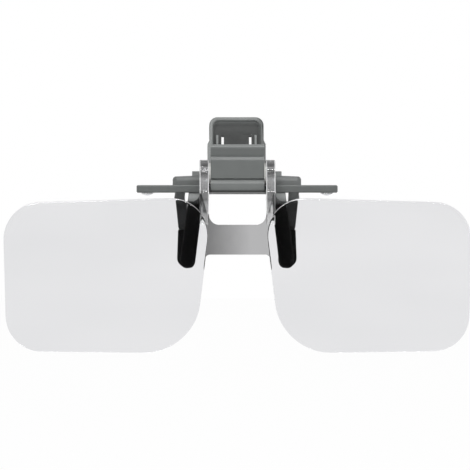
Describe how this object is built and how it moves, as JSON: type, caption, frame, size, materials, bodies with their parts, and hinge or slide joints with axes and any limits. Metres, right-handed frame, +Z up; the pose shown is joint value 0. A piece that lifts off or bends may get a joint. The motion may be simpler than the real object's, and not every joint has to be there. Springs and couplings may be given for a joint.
{
  "type": "clip on eyeglass loupe",
  "caption": "Clear magnifying lens pair on a sprung two-jaw clip that grips the front of spectacles; the lens pair flips up out of the way.",
  "frame": {"origin": "the point between the rubber tips of the two closed jaws, on the middle plane, where the spectacle lenses are pinched", "axes": "+X to the right as seen from in front of the lens, +Y back towards the wearer's eyes, +Z up"},
  "size_m": [0.112, 0.0208, 0.0566],
  "materials": {
    "grey_plastic": "satin moulded",
    "clear_acrylic": "polished clear",
    "steel": "bright drawn",
    "white_nylon": "natural",
    "black_rubber": "dull",
    "clear_silicone": "translucent soft"
  },
  "bodies": {
    "front": {"front_jaw": "grey_plastic", "front_sleeve_left": "black_rubber", "front_sleeve_right": "black_rubber", "bar_pad_left": "clear_silicone", "bar_pad_right": "clear_silicone", "flip_pin": "steel", "friction_washer_left": "white_nylon", "friction_washer_right": "white_nylon", "torsion_spring": "steel"},
    "rear": {"rear_jaw": "grey_plastic", "rear_sleeve_left": "black_rubber", "rear_sleeve_right": "black_rubber", "hinge_pin": "steel"},
    "lens": {"twin_lens": "clear_acrylic"}
  },
  "joints": [
    {"name": "lens_flip", "type": "hinge", "parent": "front", "child": "lens", "pos_m": [0, -0.00469, 0.02125], "axis": [-1, 0, 0], "range_deg": [0, 110]},
    {"name": "jaw_open", "type": "hinge", "parent": "front", "child": "rear", "pos_m": [0, 0.0022, 0.02035], "axis": [1, 0, 0], "range_deg": [0, 22], "stiffness_Nm_per_rad": 0.1, "springref_deg": -28.65, "deforming": ["torsion_spring"]}
  ]
}
